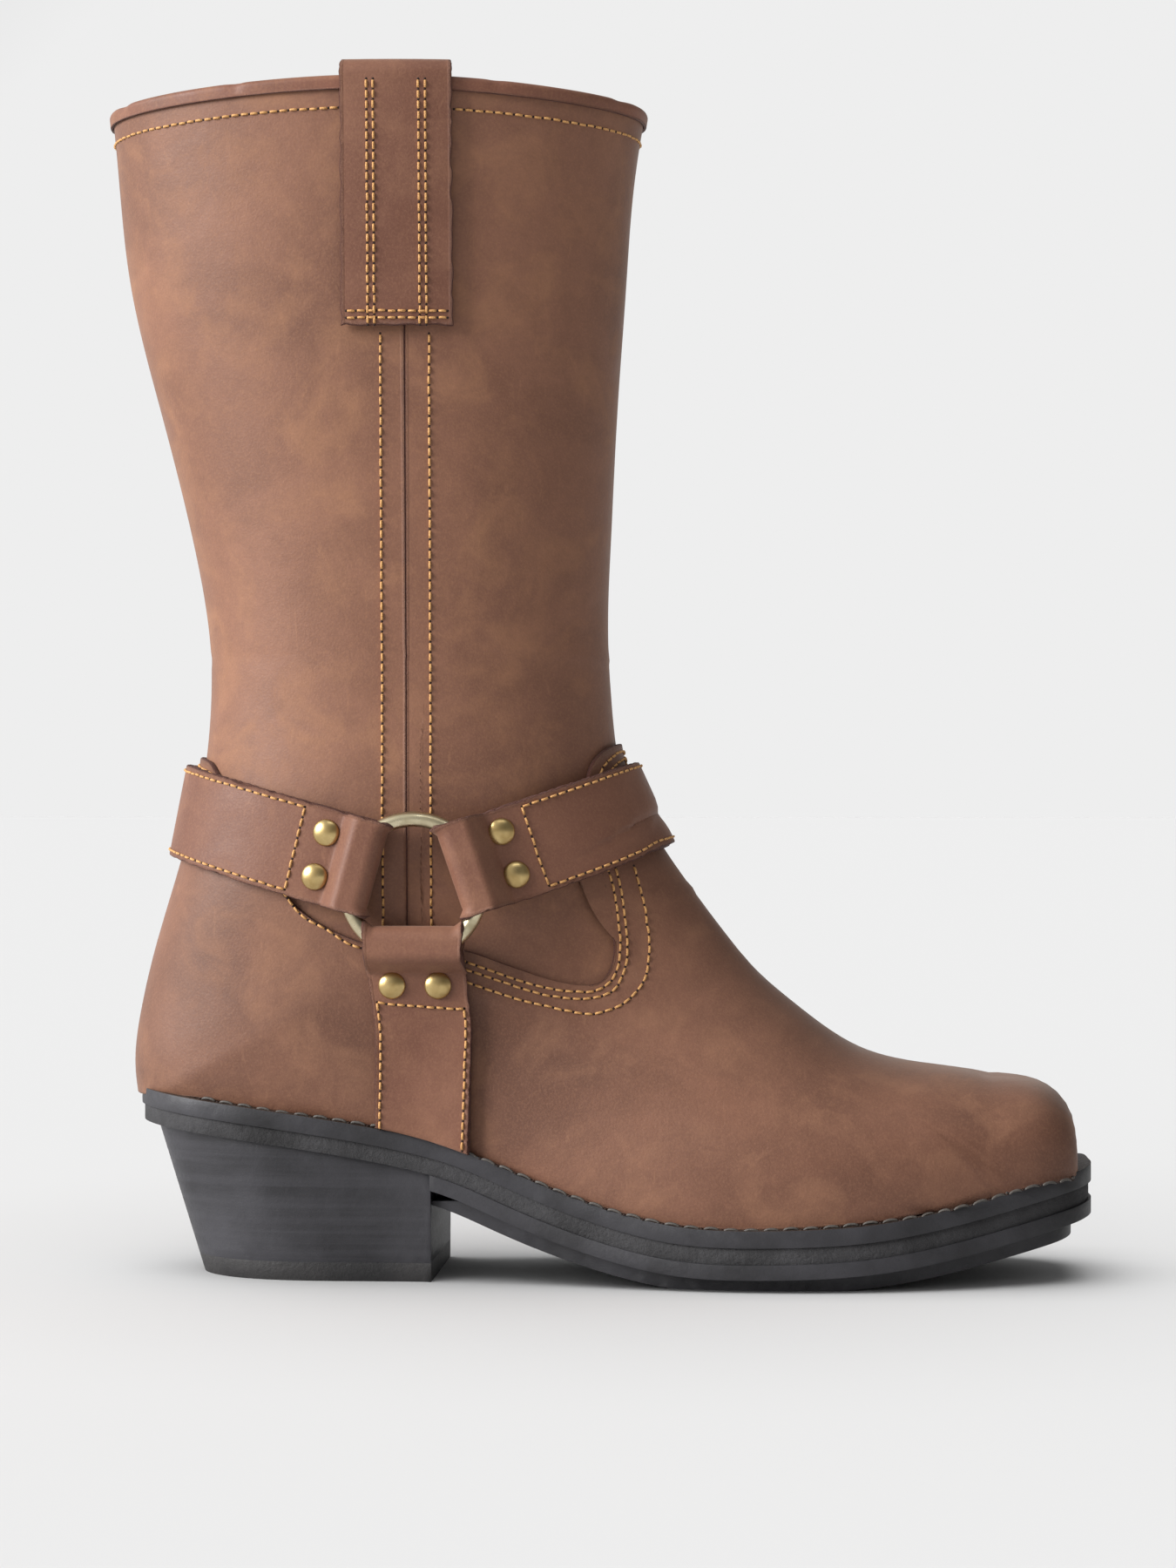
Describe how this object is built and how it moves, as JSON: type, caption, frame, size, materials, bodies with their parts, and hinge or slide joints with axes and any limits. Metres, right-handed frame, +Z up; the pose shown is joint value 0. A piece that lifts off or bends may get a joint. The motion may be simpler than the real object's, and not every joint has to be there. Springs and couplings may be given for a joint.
{
  "type": "harness riding boot",
  "caption": "Pull-on leather harness boot with a tall shaft, square toe and block heel; ankle straps and a side stirrup strap meet at free metal rings.",
  "frame": {"origin": "centre of the bounding box at the ground, under the waist of the boot", "axes": "+X towards the toe, +Y towards the inner (medial) side of this right boot, +Z up the shaft"},
  "size_m": [0.297, 0.1022, 0.3585],
  "materials": {
    "upper_leather": "oiled pull-up leather, brown, burnished on the curves",
    "strap_leather": "thick oiled leather with raw edges",
    "lining_leather": "unfinished pigskin",
    "binding_leather": "thin brown leather",
    "insole_leather": "vegetable-tanned insole leather",
    "sock_leather": "thin tan leather",
    "stiffener_board": "leatherboard",
    "tape": "woven nylon tape",
    "spring_steel": "ground",
    "nail_steel": "plain",
    "cork_filler": "cork and rubber compound",
    "welt_rubber": "smooth trimmed edge, black",
    "midsole_rubber": "rough buffed edge, black",
    "outsole_rubber": "smooth trimmed edge, black",
    "heel_rubber": "stacked and trimmed, black",
    "lift_rubber": "hard top lift",
    "rivet_brass": "antique brass, worn",
    "ring_brass": "antique brass, brushed and worn"
  },
  "bodies": {
    "root": {"shaft_front_panel": "upper_leather", "shaft_back_panel": "upper_leather", "vamp": "upper_leather", "heel_counter_cover": "upper_leather", "shaft_lining": "lining_leather", "foot_lining": "lining_leather", "toe_puff": "stiffener_board", "heel_stiffener": "stiffener_board", "side_seam_tapes": "tape", "top_binding": "binding_leather", "pull_strap_outer": "strap_leather", "pull_strap_inner": "strap_leather", "insole_board": "insole_leather", "sock_liner": "sock_leather", "shank": "spring_steel", "welt": "welt_rubber", "bottom_filler": "cork_filler", "midsole": "midsole_rubber", "outsole": "outsole_rubber", "heel_block": "heel_rubber", "heel_top_lift": "lift_rubber", "heel_nails": "nail_steel", "front_ankle_strap": "strap_leather", "front_strap_backing": "strap_leather", "rear_ankle_strap": "strap_leather", "rear_strap_backing": "strap_leather", "stirrup_strap_outer": "strap_leather", "stirrup_strap_inner": "strap_leather", "rivets": "rivet_brass", "rivet_burrs": "rivet_brass"},
    "outer_ring": {"harness_ring_outer": "ring_brass"},
    "inner_ring": {"harness_ring_inner": "ring_brass"}
  },
  "joints": [
    {"name": "outer_ring_turn", "type": "hinge", "parent": "root", "child": "outer_ring", "pos_m": [-0.05097, -0.04375, 0.1173], "axis": [0, 1, 0], "continuous": true},
    {"name": "inner_ring_turn", "type": "hinge", "parent": "root", "child": "inner_ring", "pos_m": [-0.05097, 0.04375, 0.1173], "axis": [0, 1, 0], "continuous": true}
  ]
}
